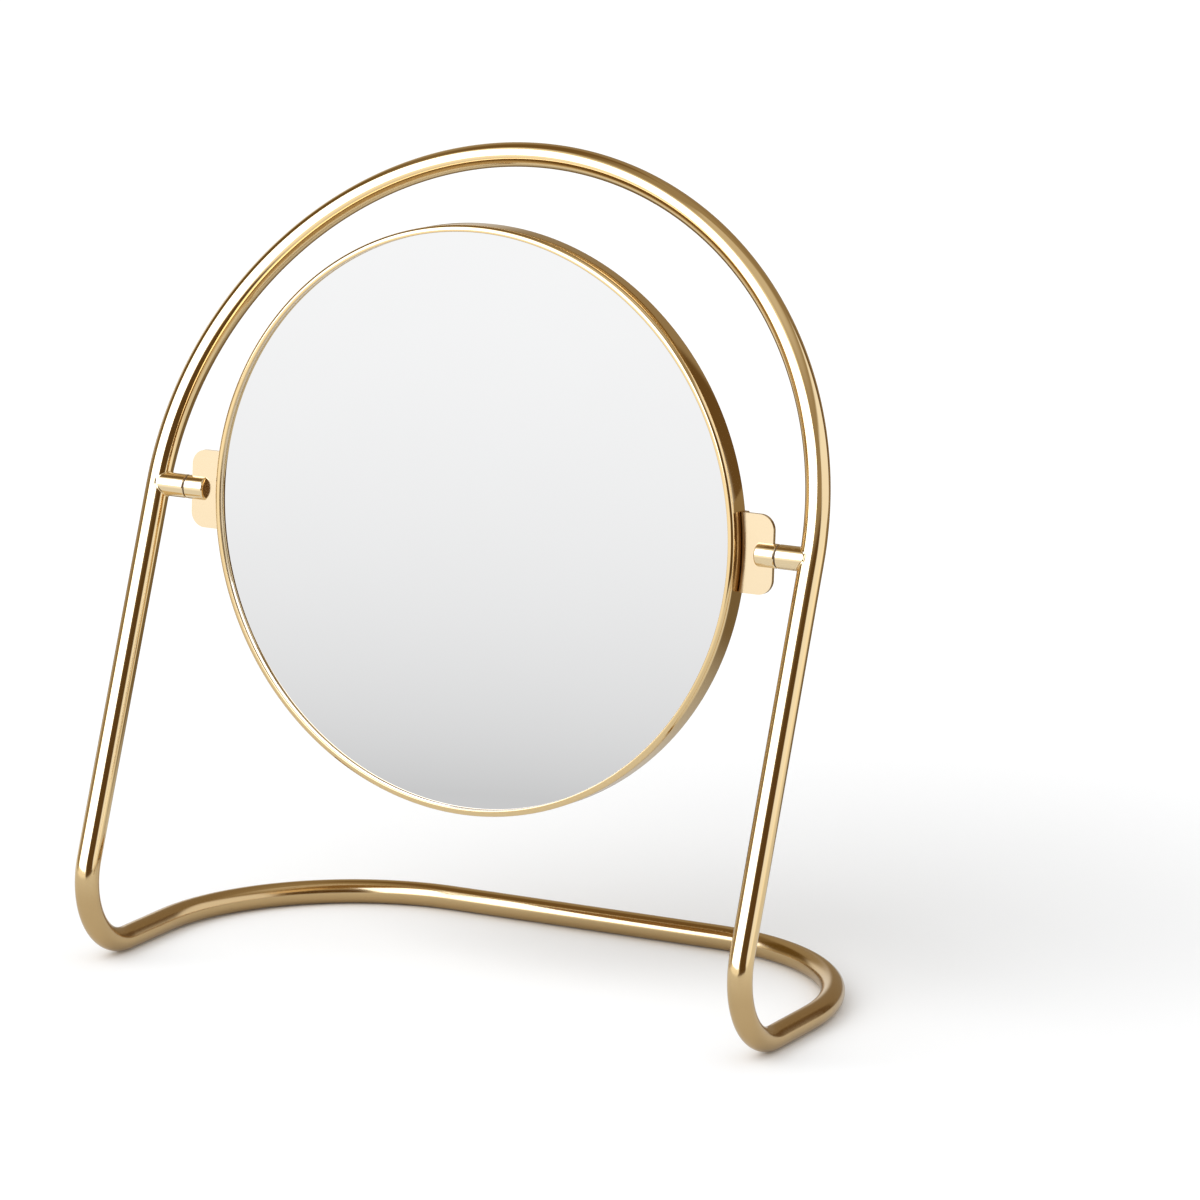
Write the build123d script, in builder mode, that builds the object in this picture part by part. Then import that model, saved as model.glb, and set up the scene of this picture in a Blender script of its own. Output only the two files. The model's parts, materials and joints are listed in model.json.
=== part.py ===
from build123d import *
import os
from math import cos, radians, sin, tan

# Table mirror: a round mirror head that tilts between the legs of a stand
# bent from one polished tube. Millimetres, +Z up, the mirror faces -Y.
# The origin is on the table, under the middle of the stand's footprint.

# Stand tube
tube_dia = 8.0
tube_wall = 1.0
lean = 21.3  # degrees that the half-round arch and the legs lean back from upright
leg_length = 159.6  # along the leg, from the sharp foot corner to the arch centre
foot_bend_radius = 23.5  # centreline bend between a leg and the floor run
base_depth = 128.5  # sharp foot corner to the rear crossbar, centrelines
rear_corner_radius = 70.0  # centreline bend at each rear corner
seam_spigot_length = 30.0
spigot_clearance = 0.05

# Mirror head
rim_dia = 190.6
rim_depth = 9.0
rim_front = 5.6  # tilt axis to the front face of the rim
rim_wall = 1.2
rim_lip = 2.15  # radial width of the front lip
rim_lip_thickness = 1.8
rim_front_radius = 1.4  # rounded outer corner of the front lip
rim_edge_radius = 0.3  # inner edge of the lip and rear edge of the wall
head_tilt = 3.7  # degrees that the mirror leans back as it stands
glass_thickness = 3.0
glass_clearance = 0.25  # radial, inside the rim
glass_seam = 0.3  # small ground bevel all round the glass
pad_thickness = 1.0
pad_inset = 4.0  # radial, from the edge of the glass
board_thickness = 1.6
board_clearance = 0.4
cover_sheet = 0.7
cover_fit = 0.05  # radial press fit of the cover in the rim
cover_recess = 0.1  # rear face of the cover below the rim's rear edge
cover_edge_radius = 0.5

# Side brackets, bent from sheet
bracket_sheet = 1.5
tab_width = 11.4  # from the rim to the outer edge of the tab
tab_height = 25.6
tab_corner_radius = 5.0
bracket_bend_radius = 1.5  # outside of the bend
bracket_inner_radius = 0.4  # inside of the bend
flange_recess = 0.3  # flange edge stops short of the rim's rear edge
braze_gap = 0.05

# Tilt pivots
pin_reveal = 0.1  # radial, stub and knuckle are this much slimmer than the tube
stub_length = 7.25  # from its face to the nearest point of the tube
pin_chamfer = 0.25
knuckle_overlap = 5.5  # how far the slotted knuckle reaches over the tab
knuckle_web = 1.55  # solid stretch between the slot and the shoulder
knuckle_end_radius = 0.8  # rounds the end that faces the mirror
journal_dia = 4.0
journal_length = 5.7
journal_clearance = 0.05  # radial running fit in the bush
bush_wall = 0.6
bush_length = 5.4
bush_fit = 0.02  # radial fit of the bush in the stub
bore_depth = 5.8
washer_recess = 0.3  # radial, below the surface of the stub
washer_thickness = 0.4
washer_bore_clearance = 0.1
pivot_play = 0.1  # axial, between the knuckle's shoulder and the washer

# Worked out from the sizes above
tube_radius = tube_dia / 2
tube_bore_radius = tube_radius - tube_wall
pin_radius = tube_radius - pin_reveal
washer_radius = pin_radius - washer_recess
foot_turn = 90 + lean
foot_setback = foot_bend_radius * tan(radians(foot_turn / 2))
front_overhang = foot_setback - foot_bend_radius
foot_y = -(front_overhang + base_depth) / 2
rear_y = foot_y + base_depth
floor_z = tube_radius

stand_plane = Plane(
    origin=(0, foot_y, floor_z),
    x_dir=(1, 0, 0),
    z_dir=(0, -cos(radians(lean)), sin(radians(lean))),
)


def on_stand(across, up):
    """A point of the leaning plane that holds the arch and both legs."""
    return stand_plane.from_local_coords(Vector(across, up, 0))


pivot = on_stand(0, leg_length)
head_normal = Vector(0, -cos(radians(head_tilt)), sin(radians(head_tilt)))
head_up = Vector(0, sin(radians(head_tilt)), cos(radians(head_tilt)))
head_axis = Axis(pivot, head_normal)
# Mirror plane: X across, Y up the mirror, Z out of its face
head_plane = Plane(origin=pivot, x_dir=(1, 0, 0), z_dir=head_normal)
# Radial section: X is the radius, Y runs out of the mirror's face
section_plane = Plane(origin=pivot, x_dir=(1, 0, 0), z_dir=-head_up)


def across_plane(x):
    """A plane square to the tilt axis, facing outward, x from the middle."""
    return Plane(origin=(x, pivot.Y, pivot.Z), x_dir=(0, 1, 0), z_dir=(1, 0, 0))


rim_radius = rim_dia / 2
rim_bore_radius = rim_radius - rim_wall
rim_rear = rim_front - rim_depth
glass_front = rim_front - rim_lip_thickness
glass_rear = glass_front - glass_thickness
glass_radius = rim_bore_radius - glass_clearance
pad_rear = glass_rear - pad_thickness
board_rear = pad_rear - board_thickness
cover_rear = rim_rear + cover_recess
cover_radius = rim_bore_radius - cover_fit
tab_edge = rim_radius + tab_width
knuckle_end = tab_edge - knuckle_overlap
slot_bottom = tab_edge + braze_gap
knuckle_shoulder = tab_edge + knuckle_web
washer_inner = knuckle_shoulder + pivot_play
stub_face = washer_inner + washer_thickness
arch_radius = stub_face + stub_length + tube_radius  # to the centreline, as are the legs
bush_bore_radius = journal_dia / 2 + journal_clearance
bush_radius = bush_bore_radius + bush_wall
stub_bore_radius = bush_radius + bush_fit


def save(solid, name):
    """Label a finished piece and write it under its own name."""
    solid.label = name
    export_step(solid, f"parts/{name}.step")


def save_pair(solid, name):
    """Write a right-hand piece and its mirror image on the left."""
    save(solid, f"{name}_right")
    save(mirror(solid, about=Plane.YZ), f"{name}_left")


# Stand: half of the loop, from the top of the arch round to the crossbar
with BuildLine() as half_loop:
    arch = TangentArc(
        on_stand(0, leg_length + arch_radius),
        on_stand(arch_radius, leg_length),
        tangent=(1, 0, 0),
    )
    leg = Line(arch @ 1, on_stand(arch_radius, foot_setback))
    foot_bend = TangentArc(
        leg @ 1,
        (arch_radius, foot_y + foot_setback, floor_z),
        tangent=leg % 1,
    )
    floor_run = Line(foot_bend @ 1, (arch_radius, rear_y - rear_corner_radius, floor_z))
    rear_corner = TangentArc(
        floor_run @ 1,
        (arch_radius - rear_corner_radius, rear_y, floor_z),
        tangent=floor_run % 1,
    )
    Line(rear_corner @ 1, (0, rear_y, floor_z))

loop_start = Plane(origin=arch @ 0, z_dir=arch % 0)

with BuildPart() as frame_tube:
    with BuildSketch(loop_start):
        Circle(tube_radius)
        Circle(tube_bore_radius, mode=Mode.SUBTRACT)
    sweep(path=half_loop.wires()[0])
    mirror(about=Plane.YZ)
save(frame_tube.part, "frame_tube")

# Hidden spigot that lines up the tube's two ends at the rear seam
with BuildPart() as seam_spigot:
    with BuildSketch(Plane.YZ.offset(-seam_spigot_length / 2)):
        with Locations((rear_y, floor_z)):
            Circle(tube_bore_radius - spigot_clearance)
    extrude(amount=seam_spigot_length)
save(seam_spigot.part, "seam_spigot")

# Shape of the tube with room for braze, used to cope the stub
with BuildPart() as tube_envelope:
    with BuildSketch(loop_start):
        Circle(tube_radius + braze_gap)
    sweep(path=half_loop.wires()[0])

# Turned stub, coped to the leg and bored for the bush
with BuildPart() as pivot_stub:
    with BuildSketch(across_plane(stub_face)):
        Circle(pin_radius)
    extrude(amount=arch_radius - stub_face)
    chamfer(edges().filter_by(GeomType.CIRCLE).group_by(Axis.X)[0], pin_chamfer)
    with BuildSketch(across_plane(stub_face)):
        Circle(stub_bore_radius)
    extrude(amount=bore_depth, mode=Mode.SUBTRACT)
    add(tube_envelope.part, mode=Mode.SUBTRACT)
save_pair(pivot_stub.part, "pivot_stub")

# Plain bush that grips the journal and holds the tilt
with BuildPart() as pivot_bush:
    with BuildSketch(across_plane(stub_face)):
        Circle(bush_radius)
        Circle(bush_bore_radius, mode=Mode.SUBTRACT)
    extrude(amount=bush_length)
save_pair(pivot_bush.part, "pivot_bush")

# Thin washer seen as the dark line between stub and knuckle
with BuildPart() as thrust_washer:
    with BuildSketch(across_plane(washer_inner)):
        Circle(washer_radius)
        Circle(journal_dia / 2 + washer_bore_clearance, mode=Mode.SUBTRACT)
    extrude(amount=washer_thickness)
save_pair(thrust_washer.part, "thrust_washer")

# Turned knuckle: slotted over the tab, with a journal in the bush
with BuildPart() as pivot_knuckle:
    with BuildSketch(across_plane(knuckle_end)):
        Circle(pin_radius)
    extrude(amount=knuckle_shoulder - knuckle_end)
    round_edges = edges().filter_by(GeomType.CIRCLE).group_by(Axis.X)
    chamfer(round_edges[-1], pin_chamfer)
    fillet(round_edges[0], knuckle_end_radius)
    with BuildSketch(across_plane(knuckle_shoulder)):
        Circle(journal_dia / 2)
    extrude(amount=journal_length)
    chamfer(edges().group_by(Axis.X)[-1], pin_chamfer)
    with BuildSketch(head_plane):
        with Locations((slot_bottom, 0)):
            Rectangle(
                2 * (slot_bottom - knuckle_end),
                4 * pin_radius,
                align=(Align.MAX, Align.CENTER),
            )
    extrude(amount=bracket_sheet / 2 + braze_gap, both=True, mode=Mode.SUBTRACT)
save_pair(pivot_knuckle.part, "pivot_knuckle")

# Bracket: sheet bent at a right angle, its flange curved to the rim
flange_inner = rim_radius + braze_gap
half_sheet = bracket_sheet / 2
with BuildPart() as side_bracket:
    with BuildSketch(section_plane):
        with BuildLine():
            Polyline(
                (flange_inner, rim_rear + flange_recess),
                (flange_inner, half_sheet),
                (tab_edge + tab_corner_radius, half_sheet),
                (tab_edge + tab_corner_radius, -half_sheet),
                (flange_inner + bracket_sheet, -half_sheet),
                (flange_inner + bracket_sheet, rim_rear + flange_recess),
                close=True,
            )
        make_face()
        inner_corners = vertices().sort_by(Axis.X)[:4]
        fillet(inner_corners.sort_by(Axis.Y)[-1], bracket_bend_radius)
        fillet(
            vertices().sort_by_distance((flange_inner + bracket_sheet, -half_sheet))[0],
            bracket_inner_radius,
        )
    revolve(axis=head_axis)
    with BuildSketch(head_plane):
        with Locations((tab_edge, 0)):
            Rectangle(
                2 * tab_width,
                tab_height,
                align=(Align.MAX, Align.CENTER),
            )
        fillet(vertices().group_by(Axis.X)[-1], tab_corner_radius)
    extrude(amount=rim_depth, both=True, mode=Mode.INTERSECT)
save_pair(side_bracket.part, "side_bracket")

# Rim: turned ring with a rounded front lip that holds the glass
with BuildPart() as rim_ring:
    with BuildSketch(section_plane):
        with BuildLine():
            Polyline(
                (rim_radius, rim_rear),
                (rim_radius, rim_front),
                (rim_radius - rim_lip, rim_front),
                (rim_radius - rim_lip, glass_front),
                (rim_bore_radius, glass_front),
                (rim_bore_radius, rim_rear),
                close=True,
            )
        make_face()
        front_corners = vertices().group_by(Axis.Y)[-1].sort_by(Axis.X)
        fillet(front_corners[-1], rim_front_radius)
        fillet(front_corners[0], rim_edge_radius)
        fillet(vertices().group_by(Axis.Y)[0], rim_edge_radius)
    revolve(axis=head_axis)
save(rim_ring.part, "rim_ring")

# Mirror glass, its front face against the lip
with BuildPart() as mirror_glass:
    with BuildSketch(head_plane.offset(glass_rear)):
        Circle(glass_radius)
    extrude(amount=glass_thickness)
    chamfer(edges(), glass_seam)
save(mirror_glass.part, "mirror_glass")

# Foam pad between the glass and the board
with BuildPart() as foam_pad:
    with BuildSketch(head_plane.offset(pad_rear)):
        Circle(glass_radius - pad_inset)
    extrude(amount=pad_thickness)
save(foam_pad.part, "foam_pad")

# Stiff backing board
with BuildPart() as backing_board:
    with BuildSketch(head_plane.offset(board_rear)):
        Circle(rim_bore_radius - board_clearance)
    extrude(amount=board_thickness)
save(backing_board.part, "backing_board")

# Pressed back cover: its turned edge stands on the board inside the rim
with BuildPart() as back_cover:
    with BuildSketch(section_plane):
        with BuildLine():
            Polyline(
                (0, cover_rear),
                (cover_radius, cover_rear),
                (cover_radius, board_rear),
                (cover_radius - cover_sheet, board_rear),
                (cover_radius - cover_sheet, cover_rear + cover_sheet),
                (0, cover_rear + cover_sheet),
                close=True,
            )
        make_face()
        fillet(
            vertices().sort_by_distance((cover_radius, cover_rear))[0],
            cover_edge_radius,
        )
    revolve(axis=head_axis)
save(back_cover.part, "back_cover")
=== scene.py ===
# %% [markdown]
# # A table mirror, dressed for its photograph
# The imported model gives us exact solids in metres: a stand bent from one brass
# tube and a round mirror head that tilts between its legs. Here we load that
# frame, build finer visible pieces over it, give every surface a finish, and
# light it like a small studio. The order is: frame and camera, studio, finishes,
# then the pieces from the stand to the mirror head.

# %% Load the frame
import json
import math

import bmesh
import bpy
from mathutils import Matrix, Vector


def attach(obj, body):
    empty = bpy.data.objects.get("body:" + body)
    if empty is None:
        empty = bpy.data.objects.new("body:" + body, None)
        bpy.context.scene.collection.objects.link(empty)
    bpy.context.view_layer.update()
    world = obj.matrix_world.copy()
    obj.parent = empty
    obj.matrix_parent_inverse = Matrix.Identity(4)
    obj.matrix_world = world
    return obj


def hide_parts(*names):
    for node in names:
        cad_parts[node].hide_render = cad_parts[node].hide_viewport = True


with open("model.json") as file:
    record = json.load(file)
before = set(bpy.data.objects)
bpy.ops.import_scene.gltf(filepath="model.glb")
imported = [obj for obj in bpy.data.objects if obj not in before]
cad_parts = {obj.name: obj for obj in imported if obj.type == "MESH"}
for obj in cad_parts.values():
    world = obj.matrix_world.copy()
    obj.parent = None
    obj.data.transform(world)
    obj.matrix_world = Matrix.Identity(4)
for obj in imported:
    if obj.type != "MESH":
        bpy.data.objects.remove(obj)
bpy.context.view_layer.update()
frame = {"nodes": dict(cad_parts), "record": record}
nodes = frame["nodes"]

# %% [markdown]
# The whole object follows from a few sizes. The stand lies in a plane that leans
# back, and the mirror head has its own plane that leans back less. Naming both
# planes once lets every later piece be placed with a matrix instead of by hand.

# %% Sizes and the two leaning planes
MM = 0.001
tube_radius = 4.0 * MM
arch_radius = 120.0 * MM
lean = math.radians(21.3)
leg_length = 159.6 * MM
foot_bend_radius = 23.5 * MM
base_depth = 128.5 * MM
rear_corner_radius = 70.0 * MM
head_tilt = math.radians(3.7)

tilt_joint = frame["record"]["behaviour"]["joints"][0]
pivot = Vector(tilt_joint["pos_m"])
leg_up = Vector((0, math.sin(lean), math.cos(lean)))
stand_back = Vector((0, math.cos(lean), -math.sin(lean)))
foot_corner = pivot - leg_up * leg_length
head_front = Vector((0, -math.cos(head_tilt), math.sin(head_tilt)))
head_up = Vector((0, math.sin(head_tilt), math.cos(head_tilt)))


def axes_at(origin, x_axis, y_axis, z_axis):
    """A matrix that carries local X, Y and Z onto three directions at a point."""
    turn = Matrix((x_axis, y_axis, z_axis)).transposed()
    return Matrix.Translation(origin) @ turn.to_4x4()


head_matrix = axes_at(pivot, Vector((1, 0, 0)), head_up, head_front)
print("pivot:", [round(v, 4) for v in pivot], "foot corner:", [round(v, 4) for v in foot_corner])

# %% [markdown]
# The photograph was taken from the front and a little to the right, from above,
# with a long lens. The camera's numbers come from matching the stand's arch, legs
# and base in the picture. A long lens far away keeps the arch round and calm.

# %% Camera
camera_data = bpy.data.cameras.new("product_camera")
camera_data.sensor_width = 36.0
camera_data.lens = 214.39
camera_data.clip_end = 50.0
camera = bpy.data.objects.new("product_camera", camera_data)
bpy.context.scene.collection.objects.link(camera)

view_yaw, view_pitch, view_roll = (math.radians(a) for a in (28.608, 13.019, 0.054))
view_distance = 2.36818
view_target = Vector((-0.000955, 0.072107, 0.109547))
toward_camera = Vector((
    math.sin(view_yaw) * math.cos(view_pitch),
    -math.cos(view_yaw) * math.cos(view_pitch),
    math.sin(view_pitch),
))
aim = toward_camera.to_track_quat("Z", "Y").to_matrix() @ Matrix.Rotation(view_roll, 3, "Z")
camera.matrix_world = (
    Matrix.Translation(view_target + toward_camera * view_distance) @ aim.to_4x4()
)
bpy.context.scene.camera = camera
print("camera at", [round(v, 3) for v in camera.matrix_world.translation])

# %% [markdown]
# Every material here is a small network of nodes. It could be wired by hand in the
# editor, but a network in code can be read and changed line by line. These helpers
# keep it short: they make a node and feed it with numbers, colours or sockets.

# %% Node helpers


def join(tree, source, target):
    """Link an output socket to an input socket."""
    tree.links.new(source, target)


def feed(tree, value, target):
    """Link a socket to the target, or write a number, vector or colour into it."""
    if isinstance(value, bpy.types.NodeSocket):
        join(tree, value, target)
    elif target.type == "RGBA":
        target.default_value = (*value, 1)
    else:
        target.default_value = value


def add_node(tree, kind, **settings):
    """A new node with some of its settings."""
    node = tree.nodes.new(kind)
    for name, value in settings.items():
        setattr(node, name, value)
    return node


def calculate(tree, operation, *values):
    """One step of arithmetic on sockets or plain numbers."""
    node = add_node(tree, "ShaderNodeMath", operation=operation)
    for target, value in zip(node.inputs, values):
        feed(tree, value, target)
    return node.outputs[0]


node_helpers = (join, feed, add_node, calculate)
print("node helpers:", [helper.__name__ for helper in node_helpers])

# %% [markdown]
# Polished metal has almost no colour of its own: it shows the room. So the studio
# is described first. The background is plain white wherever the camera, metal or
# glass looks at it, and gives the matt floor only a gentle overall light.

# %% World
soft_strength = 0.85
soft_colour = (0.99, 0.996, 1.0)

scene = bpy.context.scene
scene.view_settings.view_transform = "Standard"
world = bpy.data.worlds.new("white_studio")
scene.world = world
world.use_nodes = True
world_tree = world.node_tree
world_tree.nodes.clear()


def mix_shader(tree, factor, first, second):
    """The first shader where the factor is 0, and the second where it is 1."""
    node = add_node(tree, "ShaderNodeMixShader")
    join(tree, factor, node.inputs[0])
    join(tree, first.outputs[0], node.inputs[1])
    join(tree, second.outputs[0], node.inputs[2])
    return node


def seen_directly(tree):
    """1 where the camera, metal or glass looks, and 0 for soft light."""
    rays = add_node(tree, "ShaderNodeLightPath").outputs
    either = calculate(tree, "MAXIMUM", rays["Is Camera Ray"], rays["Is Glossy Ray"])
    return calculate(tree, "MAXIMUM", either, rays["Is Transmission Ray"])


def background(tree, colour, strength):
    """A background of one colour."""
    node = add_node(tree, "ShaderNodeBackground")
    feed(tree, colour, node.inputs["Color"])
    feed(tree, strength, node.inputs["Strength"])
    return node


soft_light = background(world_tree, soft_colour, soft_strength)
white_paper = background(world_tree, (1, 1, 1), 1.0)
choose = mix_shader(world_tree, seen_directly(world_tree), soft_light, white_paper)
world_out = add_node(world_tree, "ShaderNodeOutputWorld")
join(world_tree, choose.outputs[0], world_out.inputs["Surface"])
print("world nodes:", len(world_tree.nodes))

# %% [markdown]
# A photographer places cards and screens round a shiny object by eye: so far to the
# side, so far up. The studio's surfaces are painted in the same terms. These helpers
# turn a point of a surface into its distance, azimuth and elevation, and mark
# soft-edged bands in them.

# %% Where a point lies in the studio


def distance_from_middle(tree):
    """Distance of a surface point from the object's upright centre line."""
    place = add_node(tree, "ShaderNodeTexCoord")
    flat = add_node(tree, "ShaderNodeVectorMath", operation="MULTIPLY")
    flat.inputs[1].default_value = (1, 1, 0)
    length = add_node(tree, "ShaderNodeVectorMath", operation="LENGTH")
    join(tree, place.outputs["Object"], flat.inputs[0])
    join(tree, flat.outputs[0], length.inputs[0])
    return length.outputs["Value"]


def way_to_point(tree):
    """The X, Y and Z of the direction from the origin to a surface point."""
    place = add_node(tree, "ShaderNodeTexCoord")
    unit = add_node(tree, "ShaderNodeVectorMath", operation="NORMALIZE")
    parts = add_node(tree, "ShaderNodeSeparateXYZ")
    join(tree, place.outputs["Object"], unit.inputs[0])
    join(tree, unit.outputs[0], parts.inputs[0])
    return parts.outputs


def azimuth_of(tree):
    """Degrees round the object: 0 in front of the mirror, 90 on its right side."""
    way = way_to_point(tree)
    forward = calculate(tree, "MULTIPLY", way["Y"], -1)
    return calculate(tree, "DEGREES", calculate(tree, "ARCTAN2", way["X"], forward))


def elevation_of(tree):
    """Degrees above the level of the origin."""
    way = way_to_point(tree)
    return calculate(tree, "DEGREES", calculate(tree, "ARCSINE", way["Z"]))


def ramp(tree, value, start, end, first=0.0, last=1.0):
    """A smooth step from the first number to the last, between start and end."""
    node = add_node(tree, "ShaderNodeMapRange", interpolation_type="SMOOTHSTEP")
    feed(tree, value, node.inputs["Value"])
    feed(tree, start, node.inputs["From Min"])
    feed(tree, end, node.inputs["From Max"])
    feed(tree, first, node.inputs["To Min"])
    feed(tree, last, node.inputs["To Max"])
    return node.outputs[0]


def soft_band(tree, angle, centre, half, edge):
    """1 within half of the centre angle, and 0 beyond, with a soft edge."""
    offset = calculate(tree, "SUBTRACT", angle, centre)
    around = calculate(tree, "WRAP", offset, 180, -180)
    size = calculate(tree, "ABSOLUTE", around)
    return ramp(tree, size, half - edge / 2, half + edge / 2, 1.0, 0.0)


place_helpers = (distance_from_middle, azimuth_of, elevation_of, soft_band)
print("place helpers:", [helper.__name__ for helper in place_helpers])

# %% [markdown]
# All new geometry is made in one way. A small function fills a bmesh with the
# shape, in metres and in place, and the object that carries it stays at the origin.
# Materials that paint the studio start from an empty network.

# %% New pieces and empty materials


def new_piece(name, mesh_builder, smooth=True):
    """An object at the origin whose mesh is built by a bmesh function."""
    bm = bmesh.new()
    mesh_builder(bm)
    mesh = bpy.data.meshes.new(name)
    bm.to_mesh(mesh)
    bm.free()
    for face in mesh.polygons:
        face.use_smooth = smooth
    obj = bpy.data.objects.new(name, mesh)
    scene.collection.objects.link(obj)
    return obj


def studio_material(name, paint):
    """A material whose whole network is made by the paint function."""
    material = bpy.data.materials.new(name)
    material.use_nodes = True
    tree = material.node_tree
    tree.nodes.clear()
    surface = paint(tree)
    out = add_node(tree, "ShaderNodeOutputMaterial")
    join(tree, surface.outputs[0], out.inputs["Surface"])
    material.cycles.emission_sampling = "NONE"
    return material


def glow(tree, colour, strength):
    """A surface that shines by itself."""
    node = add_node(tree, "ShaderNodeEmission")
    feed(tree, colour, node.inputs["Color"])
    feed(tree, strength, node.inputs["Strength"])
    return node


piece_helpers = (new_piece, studio_material, glow)
print("piece helpers:", [helper.__name__ for helper in piece_helpers])

# %% [markdown]
# The floor is a sheet of white paper. Near the object it is matt and takes the soft
# shadow, and further out it fades into plain white, so that no edge of it shows.
# The brass and the mirror see a floor of their own: it begins to glow sooner, gets
# brighter with distance, and has three darker patches for the unlit parts of the
# room. These patches give the tubes their dark and tan stripes from below.

# %% Floor paint
paper_unseen = (0.71, 0.71, 0.71)
paper_seen = (0.95, 0.95, 0.95)
glow_seen = 1.1
glow_near = 0.8
glow_far = 1.33
glow_reach = 0.25
fade_unseen = (0.08, 0.30)
fade_seen = (0.22, 0.54)
patch_edge = 12
patch_growth = 1.3
floor_patches = [
    # name, azimuth, half width, starts at this distance, colour
    ("camera_side", 43, 31, 0.57, (0.11, 0.065, 0.024)),
    ("behind", -168, 60, 0.11, (0.25, 0.19, 0.11)),
    ("left_side", -84, 18, 0.8, (0.40, 0.34, 0.24)),
]


def mix_colour(tree, factor, first, second):
    """The first colour where the factor is 0, and the second where it is 1."""
    node = add_node(tree, "ShaderNodeMix", data_type="RGBA")
    feed(tree, factor, node.inputs[0])
    feed(tree, first, node.inputs[6])
    feed(tree, second, node.inputs[7])
    return node.outputs[2]


def mix_number(tree, factor, first, second):
    """The first number where the factor is 0, and the second where it is 1."""
    node = add_node(tree, "ShaderNodeMix", data_type="FLOAT")
    feed(tree, factor, node.inputs[0])
    feed(tree, first, node.inputs[2])
    feed(tree, second, node.inputs[3])
    return node.outputs[0]


def paint_floor(tree):
    """Matt paper near the object that fades into a glow further out."""
    camera_ray = add_node(tree, "ShaderNodeLightPath").outputs["Is Camera Ray"]
    paper = add_node(tree, "ShaderNodeBsdfDiffuse")
    feed(tree, mix_colour(tree, camera_ray, paper_unseen, paper_seen), paper.inputs["Color"])

    distance = distance_from_middle(tree)
    fall = calculate(tree, "DIVIDE", glow_reach, distance)
    level = calculate(tree, "MAXIMUM", calculate(tree, "SUBTRACT", glow_far, fall), glow_near)

    azimuth = azimuth_of(tree)
    painted = (1, 1, 1)
    for _, centre, half, start, colour in floor_patches:
        across = soft_band(tree, azimuth, centre, half, patch_edge)
        beyond = ramp(tree, distance, start, start * patch_growth)
        inside = calculate(tree, "MULTIPLY", across, beyond)
        painted = mix_colour(tree, mix_number(tree, camera_ray, inside, 0.0), painted, colour)

    lit = glow(tree, painted, mix_number(tree, camera_ray, level, glow_seen))
    fade_start = mix_number(tree, camera_ray, fade_unseen[0], fade_seen[0])
    fade_end = mix_number(tree, camera_ray, fade_unseen[1], fade_seen[1])
    return mix_shader(tree, ramp(tree, distance, fade_start, fade_end), paper, lit)


print("floor patches:", len(floor_patches))

# %% [markdown]
# The sheet itself is one large disc, a hair below the tube so that the two faces
# never lie in one plane.

# %% Floor
floor_radius = 5.0
floor_drop = 0.05 * MM
floor_sides = 96


def build_floor(bm):
    bmesh.ops.create_circle(bm, cap_ends=True, segments=floor_sides, radius=floor_radius)
    bmesh.ops.translate(bm, verts=bm.verts, vec=(0, 0, -floor_drop))


floor = new_piece("floor", build_floor, smooth=False)
floor.data.materials.append(studio_material("floor_paper", paint_floor))
print("floor laid, radius", floor_radius, "m")

# %% [markdown]
# Two large lamps stand to the left of the camera. The wide one is seen only in the
# metal, as the white stripe down every tube. It is bluish, because brass takes the
# blue out of what it reflects and the stripe should come back nearly white. The
# higher one lights only matt surfaces: it throws the shadow of the mirror head back
# and to the right. A lamp that big gives a shadow with no hard edge.

# %% Softboxes
lamp_distance = 2.6
lamp_aim = Vector((0, 0, 0.12))


def direction(azimuth, elevation):
    """A unit vector: azimuth 0 is the front of the mirror, 90 its right side."""
    a, e = math.radians(azimuth), math.radians(elevation)
    return Vector((math.sin(a) * math.cos(e), -math.cos(a) * math.cos(e), math.sin(e)))


def softbox(name, azimuth, elevation, width, height, radiance, colour=(1, 1, 1)):
    """A rectangular lamp that faces the object, as bright as it looks in metal."""
    data = bpy.data.lights.new(name, "AREA")
    data.shape = "RECTANGLE"
    data.size, data.size_y = width, height
    data.energy = radiance * math.pi * width * height
    data.color = colour
    lamp = bpy.data.objects.new(name, data)
    scene.collection.objects.link(lamp)
    back = direction(azimuth, elevation)
    lamp.location = lamp_aim + back * lamp_distance
    lamp.rotation_mode = "QUATERNION"
    lamp.rotation_quaternion = back.to_track_quat("Z", "Y")
    lamp.visible_camera = False
    return lamp


stripe_lamp = softbox(
    "stripe_softbox", azimuth=-25, elevation=28, width=3.9, height=2.3,
    radiance=3.2, colour=(0.51, 0.64, 1.0),
)
stripe_lamp.visible_diffuse = False
shadow_lamp = softbox(
    "shadow_softbox", azimuth=-28, elevation=42, width=2.6, height=2.2, radiance=2.02,
)
shadow_lamp.visible_glossy = False
for lamp in (stripe_lamp, shadow_lamp):
    print(lamp.name, round(lamp.data.energy), "W")

# %% [markdown]
# The dark and tan stripes in the brass are the unlit parts of the studio: a dark
# screen beside the camera, another to the left, a plain ceiling. They are painted
# on a tent round the set that only reflections can see. Each patch is a soft-edged
# box in azimuth and elevation, and a later patch covers an earlier one.

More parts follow.
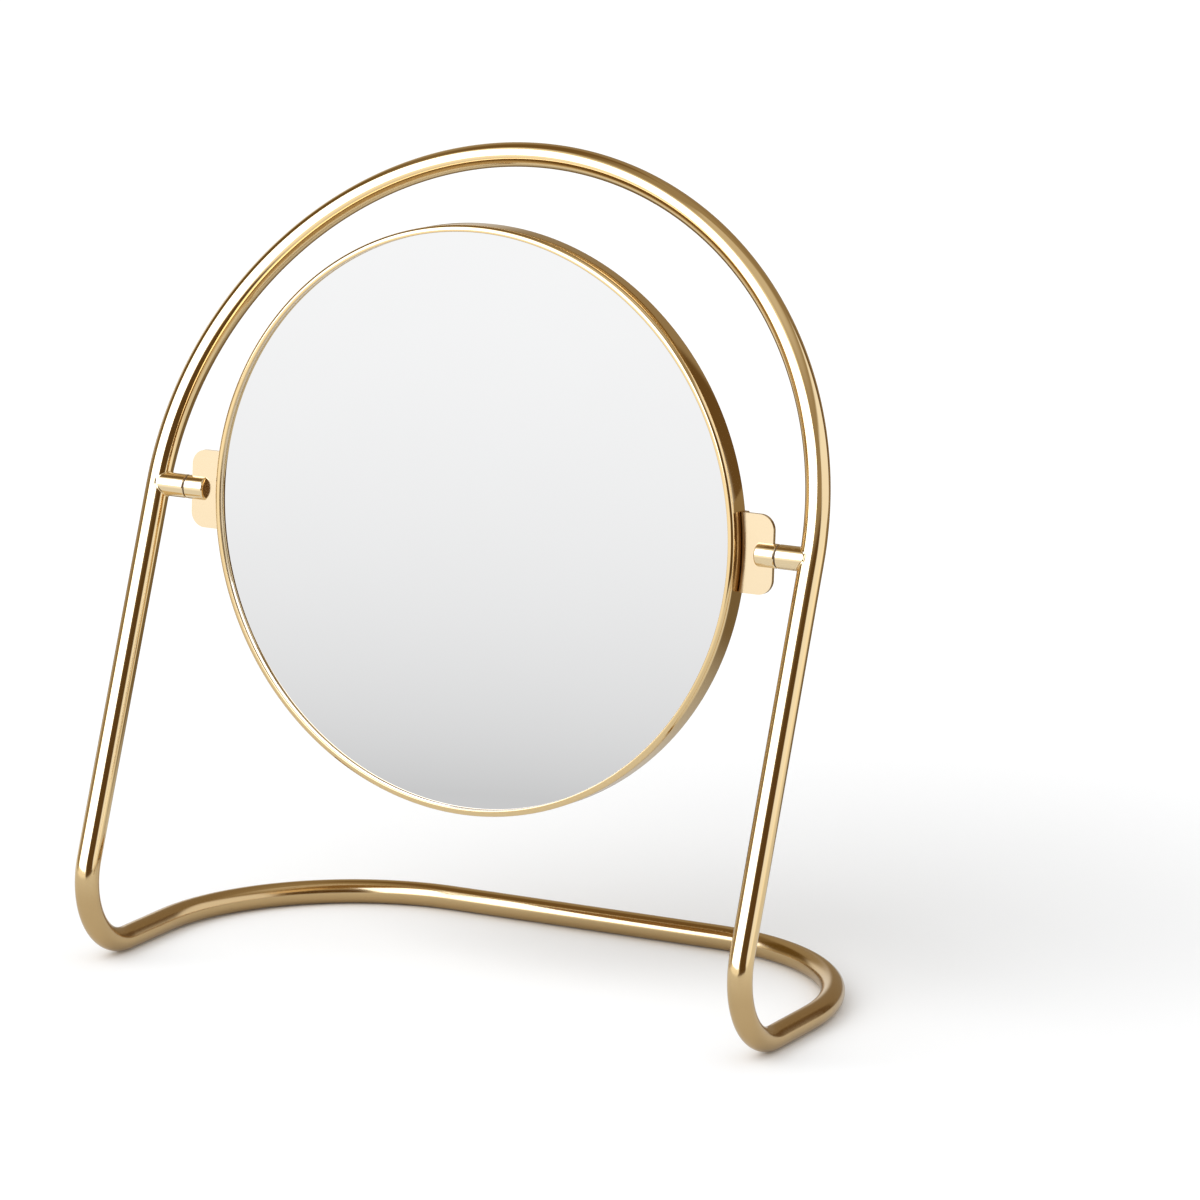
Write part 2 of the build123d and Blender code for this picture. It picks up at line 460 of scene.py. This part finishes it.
# %% Reflection tent
tent_radius = 8.0
tent_cloth = (0.38, 0.31, 0.21)
tent_patches = [
    # name, azimuth, elevation, half width, half height, soft edge, colour
    ("ceiling_right", 55, 76, 75, 20, 26, (0.70, 0.66, 0.60)),
    ("left_top", -112, 60, 44, 13, 16, (0.19, 0.12, 0.05)),
    ("left_screen", -88, 28, 25, 17, 14, (0.16, 0.10, 0.03)),
    ("back_wall", 175, 22, 40, 34, 16, (0.33, 0.26, 0.17)),
    ("back_screen", 152, 11, 13, 16, 6, (0.15, 0.09, 0.035)),
    ("back_paper", -130, 4, 20, 14, 12, (0.95, 0.95, 0.95)),
    ("right_fill", 106, 14, 38, 26, 8, (1.10, 1.15, 1.28)),
    ("front_screen", 43, 5, 29, 22, 9, (0.12, 0.070, 0.026)),
    ("key_glow", -25, 20, 40, 38, 16, (1.15, 1.15, 1.12)),
]


def paint_tent(tree):
    """A cloth that glows by itself, patch over patch."""
    azimuth, elevation = azimuth_of(tree), elevation_of(tree)
    painted = tent_cloth
    for _, azimuth_centre, height_centre, half_width, half_height, edge, colour in tent_patches:
        across = soft_band(tree, azimuth, azimuth_centre, half_width, edge)
        up = soft_band(tree, elevation, height_centre, half_height, edge)
        painted = mix_colour(tree, calculate(tree, "MULTIPLY", across, up), painted, colour)
    return glow(tree, painted, 1.0)


def build_tent(bm):
    bmesh.ops.create_uvsphere(bm, u_segments=48, v_segments=24, radius=tent_radius)


tent = new_piece("reflection_tent", build_tent)
tent.data.materials.append(studio_material("tent_cloth", paint_tent))
tent.visible_camera = False
tent.visible_diffuse = False
tent.visible_shadow = False
print("tent patches:", len(tent_patches))

# %% [markdown]
# Brass is a metal with a warm yellow reflection. The tube is polished and lacquered:
# its reflections are crisp, with only a faint waviness left by drawing, bending and
# buffing. Small changes of tint and gloss keep the surface from looking synthetic.
# Low on the stand, where the tube is bent and handled, and on the brackets' brazed
# flanges the polish is duller. The same places are also painted darker: painted shade
# near the floor on the stand, and painted shade where the brackets meet the rim. The
# turned pivots are paler.

# %% Brass finishes
cloud_scale = 34.0
ripple_scale = 60.0


def noise(tree, place, scale, detail):
    """Soft random variation between 0 and 1."""
    node = add_node(tree, "ShaderNodeTexNoise")
    feed(tree, place, node.inputs["Vector"])
    feed(tree, scale, node.inputs["Scale"])
    feed(tree, detail, node.inputs["Detail"])
    return node.outputs["Fac"]


def raised(tree, height, depth):
    """A normal that follows a height from 0 to 1, depth metres deep."""
    node = add_node(tree, "ShaderNodeBump")
    feed(tree, 1.0, node.inputs["Strength"])
    feed(tree, depth, node.inputs["Distance"])
    feed(tree, height, node.inputs["Height"])
    return node.outputs[0]


def metal(name, tint, tint_worn, gloss, gloss_spread, grain, wave, dull_and_shade=None):
    """A metal whose tint, gloss and smoothness vary a little over the surface.

    The last argument names a direction from the origin, the two distances along it
    between which the metal goes from rougher and darker to bright, how much rougher
    that part is, and its darker tint, which is painted shade.
    """
    material = bpy.data.materials.new(name)
    material.use_nodes = True
    tree = material.node_tree
    place = add_node(tree, "ShaderNodeTexCoord").outputs["Object"]
    colour = mix_colour(tree, noise(tree, place, cloud_scale, 4.0), tint, tint_worn)

    stretch = add_node(tree, "ShaderNodeMapping")
    feed(tree, place, stretch.inputs["Vector"])
    feed(tree, grain, stretch.inputs["Scale"])
    scratches = noise(tree, stretch.outputs[0], 1.0, 3.0)
    rough = calculate(tree, "MULTIPLY_ADD", scratches, gloss_spread, gloss)

    if dull_and_shade:
        way, dull_and_shade_until, bright_from, extra_rough, painted_shade_tint = dull_and_shade
        along = add_node(tree, "ShaderNodeVectorMath", operation="DOT_PRODUCT")
        feed(tree, place, along.inputs[0])
        feed(tree, way, along.inputs[1])
        outward = calculate(tree, "ABSOLUTE", along.outputs["Value"])
        wear_and_shade = ramp(tree, outward, dull_and_shade_until, bright_from, 1.0, 0.0)
        rough = calculate(tree, "MULTIPLY_ADD", wear_and_shade, extra_rough, rough)
        # Painted shade: the same part also takes a darker tint, which stands in for shade.
        colour = mix_colour(tree, wear_and_shade, colour, painted_shade_tint)

    shader = tree.nodes["Principled BSDF"]
    shader.inputs["Metallic"].default_value = 1.0
    join(tree, colour, shader.inputs["Base Color"])
    join(tree, rough, shader.inputs["Roughness"])
    ripple = raised(tree, noise(tree, place, ripple_scale, 2.0), wave)
    join(tree, ripple, shader.inputs["Normal"])
    return material


polished_brass = metal(
    "polished_brass", tint=(0.83, 0.63, 0.34), tint_worn=(0.80, 0.59, 0.305),
    gloss=0.045, gloss_spread=0.05, grain=(900, 900, 160), wave=0.02 * MM,
    # Rougher low on the stand, and painted darker there as shade near the floor.
    dull_and_shade=((0, 0.2, 1), 8 * MM, 26 * MM, 0.12, (0.60, 0.42, 0.205)),
)
turned_brass = metal(
    "turned_brass", tint=(0.92, 0.74, 0.46), tint_worn=(0.90, 0.71, 0.42),
    gloss=0.06, gloss_spread=0.05, grain=(160, 900, 900), wave=0.01 * MM,
)
sheet_brass = metal(
    "sheet_brass", tint=(0.86, 0.70, 0.47), tint_worn=(0.84, 0.67, 0.43),
    gloss=0.12, gloss_spread=0.05, grain=(300, 900, 900), wave=0.004 * MM,
    # Rougher on the flange beside the rim, and painted darker there as shade where the bracket
    # meets the rim.
    dull_and_shade=((1, 0, 0), 96.2 * MM, 96.9 * MM, 0.25, (0.50, 0.34, 0.17)),
)
cover_brass = metal(
    "cover_brass", tint=(0.83, 0.63, 0.35), tint_worn=(0.79, 0.58, 0.31),
    gloss=0.13, gloss_spread=0.08, grain=(700, 700, 700), wave=0.01 * MM,
)
for finish in (polished_brass, turned_brass, sheet_brass, cover_brass):
    print("finish:", finish.name)

# %% [markdown]
# The mirror is float glass silvered on its back. Seen from any normal distance it
# behaves as one flat, slightly grey mirror, so it gets a metallic shader with hardly
# any roughness, and a trace of dust in its gloss. The nylon, foam and board are
# matt, and differ in tint, in the size of their grain and in how deep it is.

# %% Mirror, plastic, foam and board finishes
mirror_silver = metal(
    "mirror_silver", tint=(0.73, 0.732, 0.735), tint_worn=(0.72, 0.722, 0.725),
    gloss=0.012, gloss_spread=0.01, grain=(60, 60, 60), wave=0.0,
)


def matt(name, tint, tint_other, scale, rough, depth):
    """A matt surface with fine grain in colour and height."""
    material = bpy.data.materials.new(name)
    material.use_nodes = True
    tree = material.node_tree
    place = add_node(tree, "ShaderNodeTexCoord").outputs["Object"]
    grain = noise(tree, place, scale, 6.0)
    shader = tree.nodes["Principled BSDF"]
    shader.inputs["Roughness"].default_value = rough
    join(tree, mix_colour(tree, grain, tint, tint_other), shader.inputs["Base Color"])
    join(tree, raised(tree, grain, depth), shader.inputs["Normal"])
    return material


dark_nylon = matt(
    "dark_nylon", tint=(0.13, 0.075, 0.03), tint_other=(0.09, 0.05, 0.02),
    scale=1500, rough=0.7, depth=0.01 * MM,
)
pale_nylon = matt(
    "pale_nylon", tint=(0.85, 0.84, 0.80), tint_other=(0.80, 0.79, 0.74),
    scale=1500, rough=0.4, depth=0.01 * MM,
)
pad_foam = matt(
    "pad_foam", tint=(0.90, 0.90, 0.88), tint_other=(0.82, 0.82, 0.79),
    scale=2500, rough=0.95, depth=0.1 * MM,
)
board_fibre = matt(
    "board_fibre", tint=(0.30, 0.19, 0.10), tint_other=(0.42, 0.28, 0.16),
    scale=900, rough=0.8, depth=0.05 * MM,
)
for finish in (mirror_silver, dark_nylon, pale_nylon, pad_foam, board_fibre):
    print("finish:", finish.name)

# %% [markdown]
# The stand is one round tube bent into a closed loop. A tube like this could be a
# curve with a round bevel, but spinning and extruding a ring of edges is how the
# bender works: turn about a centre, run straight, turn again. Only half is bent,
# and a mirror copy closes the loop.

# %% Bending a ring of edges


def new_ring(bm, segments, radius, matrix):
    """A circle of edges, ready to be spun or run on."""
    bmesh.ops.create_circle(bm, segments=segments, radius=radius, matrix=matrix)
    return bm.verts[:] + bm.edges[:]


def turn_ring(bm, ring, centre, axis, angle, steps):
    """Sweep the ring round a bend and return the ring at its far end."""
    swept = bmesh.ops.spin(
        bm, geom=ring, cent=centre, axis=axis, angle=angle, steps=steps, use_duplicate=False
    )
    return swept["geom_last"]


def run_ring(bm, ring, way, steps):
    """Carry the ring straight on and return the ring at its far end."""
    for _ in range(steps):
        edges = [e for e in ring if isinstance(e, bmesh.types.BMEdge)]
        grown = bmesh.ops.extrude_edge_only(bm, edges=edges)["geom"]
        verts = [v for v in grown if isinstance(v, bmesh.types.BMVert)]
        bmesh.ops.translate(bm, verts=verts, vec=way / steps)
        far = set(verts)
        ring = verts + [
            e for e in grown
            if isinstance(e, bmesh.types.BMEdge) and e.verts[0] in far and e.verts[1] in far
        ]
    return ring


bending_helpers = (new_ring, turn_ring, run_ring)
print("bending helpers:", [helper.__name__ for helper in bending_helpers])

# %% [markdown]
# The bender's list for this tube is short: a quarter of the arch, a straight leg, a
# bend of more than a right angle at the foot, a short floor run, a large rear corner
# and half of the crossbar. Bends get many steps and straight runs only a few.

# %% Stand tube
tube_sides = 56
arch_steps = 72
leg_steps = 10
foot_steps = 40
corner_steps = 48
run_steps = 4
weld_distance = 1e-6


def build_tube(bm):
    """Bend half of the loop, from the top of the arch, and mirror it."""
    right = Vector((1, 0, 0))
    back = Vector((0, 1, 0))
    stand_front = right.cross(leg_up)
    foot_turn = math.pi / 2 + lean
    foot_setback = foot_bend_radius * math.tan(foot_turn / 2)

    top = pivot + leg_up * arch_radius
    ring = new_ring(bm, tube_sides, tube_radius, axes_at(top, stand_back, leg_up, right))
    ring = turn_ring(bm, ring, pivot, stand_front, -math.pi / 2, arch_steps)
    ring = run_ring(bm, ring, leg_up * (foot_setback - leg_length), leg_steps)
    bend_start = foot_corner + right * arch_radius + leg_up * foot_setback
    bend_centre = bend_start + stand_back * foot_bend_radius
    ring = turn_ring(bm, ring, bend_centre, right, foot_turn, foot_steps)
    floor_run = base_depth - foot_setback - rear_corner_radius
    ring = run_ring(bm, ring, back * floor_run, run_steps)
    corner_centre = foot_corner + Vector(
        (arch_radius - rear_corner_radius, base_depth - rear_corner_radius, 0)
    )
    ring = turn_ring(bm, ring, corner_centre, Vector((0, 0, 1)), math.pi / 2, corner_steps)
    run_ring(bm, ring, right * (rear_corner_radius - arch_radius), run_steps)

    half = bm.verts[:] + bm.edges[:] + bm.faces[:]
    bmesh.ops.mirror(bm, geom=half, axis="X", merge_dist=weld_distance)
    bmesh.ops.remove_doubles(bm, verts=bm.verts, dist=weld_distance)
    bmesh.ops.recalc_face_normals(bm, faces=bm.faces)


def dress(obj, body, material, slot_name, *stands_for):
    """Give a finished piece its finish and the body that carries it, and hide the solids it
    stands for.
    """
    obj.data.materials.clear()
    obj.data.materials.append(material)
    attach(obj, body)
    if stands_for:
        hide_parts(*stands_for)
    return obj


stand_tube = new_piece("stand_tube", build_tube)
dress(stand_tube, "stand", polished_brass, "polished_brass", "frame_tube")
print("stand tube faces:", len(stand_tube.data.polygons))

# %% [markdown]
# The stubs are brazed to the tube. Where they meet, capillary braze leaves a thin
# bright fillet that follows the saddle where two cylinders cross. A small ring is
# spun round the stub, then slid along it until it lies on the tube.

# %% Braze fillets
pin_radius = 3.9 * MM
bead_radius = 0.32 * MM
bead_sides = 12
bead_steps = 96
widest_on_tube = tube_radius * 0.985  # just short of where the saddle turns upright


def bead_builder(side):
    """A thin ring round the stub on one side, laid against the tube."""
    def build(bm):
        out = Vector((side, 0, 0))
        start = axes_at(pivot + leg_up * pin_radius, out, leg_up, stand_back)
        ring = new_ring(bm, bead_sides, bead_radius, start)
        bmesh.ops.spin(
            bm, geom=ring, cent=pivot, axis=out, angle=math.tau, steps=bead_steps,
            use_merge=True,
        )
        for vert in bm.verts:
            across = min(abs((vert.co - pivot).dot(stand_back)), widest_on_tube)
            reach = arch_radius - math.sqrt(tube_radius**2 - across**2)
            vert.co += out * reach
        bmesh.ops.recalc_face_normals(bm, faces=bm.faces)
    return build


for side, side_name in ((1, "right"), (-1, "left")):
    bead = new_piece(f"braze_fillet_{side_name}", bead_builder(side))
    dress(bead, "stand", polished_brass, "polished_brass")
    print(bead.name, "faces:", len(bead.data.polygons))

# %% [markdown]
# The rim, the cover and the foam are round about the mirror's own axis. They could
# be cut from cylinders, but it is simpler to draw half a section, round its corners
# and spin it, as a lathe would make it. A section that reaches the axis stays open
# there, so that the spin closes it without inner walls.

# %% Turning a section
corner_segments = 7
turned_weld = 1e-7


def turned_builder(outline, rounds, steps, on_axis=False):
    """Spin a section of (radius, height) points, with some corners rounded."""
    def build(bm):
        corners = [bm.verts.new((radius, 0, height)) for radius, height in outline]
        bm.faces.new(corners)
        for index, radius in rounds.items():
            bmesh.ops.bevel(
                bm, geom=[corners[index]], offset=radius, offset_type="OFFSET",
                segments=corner_segments, profile=0.5, affect="VERTICES", material=-1,
            )
        bmesh.ops.delete(bm, geom=bm.faces[:], context="FACES_ONLY")
        if on_axis:
            spindle = [e for e in bm.edges if all(abs(v.co.x) < turned_weld for v in e.verts)]
            bmesh.ops.delete(bm, geom=spindle, context="EDGES")
        bmesh.ops.spin(
            bm, geom=bm.verts[:] + bm.edges[:], cent=(0, 0, 0), axis=(0, 0, 1),
            angle=math.tau, steps=steps, use_merge=True,
        )
        bmesh.ops.remove_doubles(bm, verts=bm.verts, dist=turned_weld)
        bmesh.ops.recalc_face_normals(bm, faces=bm.faces)
        bmesh.ops.transform(bm, matrix=head_matrix, verts=bm.verts)
    return build


print("corner segments of a turned piece:", corner_segments)

# %% [markdown]
# The rim is the part that the eye follows round the mirror. Its section is a thin
# wall with a lip that turns in over the glass. The outer front corner is well
# rounded and the other edges are just broken, which gives the thin light lines.

# %% Rim ring
rim_radius = 95.3 * MM
rim_inner = 94.1 * MM
rim_front = 5.6 * MM
rim_rear = -3.4 * MM
lip_inner = 93.15 * MM
glass_front = 3.8 * MM
rim_outline = [
    (rim_radius, rim_rear), (rim_radius, rim_front), (lip_inner, rim_front),
    (lip_inner, glass_front), (rim_inner, glass_front), (rim_inner, rim_rear),
]
rim_rounds = {0: 0.3 * MM, 1: 1.4 * MM, 2: 0.3 * MM, 5: 0.3 * MM}
rim = new_piece("rim", turned_builder(rim_outline, rim_rounds, steps=256))
dress(rim, "mirror_head", polished_brass, "polished_brass", "rim_ring")
print("rim faces:", len(rim.data.polygons))

# %% [markdown]
# The back is closed by a shallow cover, pressed from thin sheet with a short turned
# edge that stands on the board inside the rim. It is a round pressing, so it is spun
# too, with its one outer corner rounded as the press leaves it.

# %% Back cover
cover_radius = 94.05 * MM
cover_rear = -3.3 * MM
cover_sheet = 0.7 * MM
board_rear = -1.8 * MM
cover_outline = [
    (0, cover_rear), (cover_radius, cover_rear), (cover_radius, board_rear),
    (cover_radius - cover_sheet, board_rear),
    (cover_radius - cover_sheet, cover_rear + cover_sheet), (0, cover_rear + cover_sheet),
]
cover = new_piece(
    "pressed_cover", turned_builder(cover_outline, {1: 0.5 * MM}, steps=192, on_axis=True)
)
dress(cover, "mirror_head", cover_brass, "cover_brass", "back_cover")
print("cover faces:", len(cover.data.polygons))

# %% [markdown]
# Stubs, knuckles and brackets keep the exact form of their solids. Their copies are
# merged, and the sharp edges are broken with a small bevel: real edges are never
# razor sharp, and it is that tiny round that catches the light.

# %% Pivots and brackets with broken edges
copy_weld = 2e-6
flat_angle = math.radians(0.4)
sharp_angle = math.radians(30)
normal_weight = 100


def edges_broken(name, node_name, round_radius):
    """A merged copy of a solid whose sharp edges have a small round."""
    def build(bm):
        bm.from_mesh(nodes[node_name].data)
        bmesh.ops.remove_doubles(bm, verts=bm.verts, dist=copy_weld)
        bmesh.ops.dissolve_limit(bm, angle_limit=flat_angle, verts=bm.verts, edges=bm.edges)
        sharp = [e for e in bm.edges if e.is_manifold and e.calc_face_angle(0) > sharp_angle]
        bmesh.ops.bevel(
            bm, geom=sharp, offset=round_radius, offset_type="OFFSET", segments=3,
            profile=0.5, affect="EDGES", material=-1, clamp_overlap=True,
        )
    obj = new_piece(name, build)
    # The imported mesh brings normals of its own, which no longer fit
    stray = obj.data.attributes.get("custom_normal")
    if stray:
        obj.data.attributes.remove(stray)
    even = obj.modifiers.new("even_shading", "WEIGHTED_NORMAL")
    even.weight = normal_weight
    return obj


for side_name in ("right", "left"):
    for part, radius, body, finish, slot_name in (
        # part, radius of its broken edges, body, finish, slot
        ("pivot_stub", 0.06 * MM, "stand", turned_brass, "polished_brass"),
        ("pivot_knuckle", 0.12 * MM, "mirror_head", turned_brass, "polished_brass"),
        ("side_bracket", 0.15 * MM, "mirror_head", sheet_brass, "bracket_brass"),
    ):
        source = f"{part}_{side_name}"
        piece = edges_broken(f"{source}_finished", source, radius)
        dress(piece, body, finish, slot_name, source)
        print(piece.name, "faces:", len(piece.data.polygons))

# %% [markdown]
# Behind the glass lies a thin sheet of foam that takes up the play. It is out of
# sight, but it is a soft part, so it gets its own rounded form.

# %% Foam pad
pad_radius = 89.85 * MM
pad_front = 0.8 * MM
pad_rear = -0.2 * MM
pad_outline = [(0, pad_rear), (pad_radius, pad_rear), (pad_radius, pad_front), (0, pad_front)]
pad = new_piece(
    "foam_sheet",
    turned_builder(pad_outline, {1: 0.4 * MM, 2: 0.4 * MM}, steps=96, on_axis=True),
)
dress(pad, "mirror_head", pad_foam, "foam", "foam_pad")
print("foam sheet faces:", len(pad.data.polygons))

# %% [markdown]
# Every solid gets its finish too, also those that a finer piece stands for: they
# are still the true form of the part, and another scene may show them.

# %% Dress the solids
node_finishes = {
    "frame_tube": (polished_brass, "polished_brass"),
    "seam_spigot": (polished_brass, "plain_brass"),
    "pivot_stub_left": (turned_brass, "polished_brass"),
    "pivot_stub_right": (turned_brass, "polished_brass"),
    "pivot_bush_left": (pale_nylon, "bush_nylon"),
    "pivot_bush_right": (pale_nylon, "bush_nylon"),
    "thrust_washer_left": (dark_nylon, "washer_nylon"),
    "thrust_washer_right": (dark_nylon, "washer_nylon"),
    "pivot_knuckle_left": (turned_brass, "polished_brass"),
    "pivot_knuckle_right": (turned_brass, "polished_brass"),
    "side_bracket_left": (sheet_brass, "bracket_brass"),
    "side_bracket_right": (sheet_brass, "bracket_brass"),
    "rim_ring": (polished_brass, "polished_brass"),
    "mirror_glass": (mirror_silver, "silvered_glass"),
    "foam_pad": (pad_foam, "foam"),
    "backing_board": (board_fibre, "board"),
    "back_cover": (cover_brass, "cover_brass"),
}
for node_name, (material, slot_name) in node_finishes.items():
    node = nodes[node_name]
    node.data.materials.clear()
    node.data.materials.append(material)
print("dressed:", len(node_finishes))
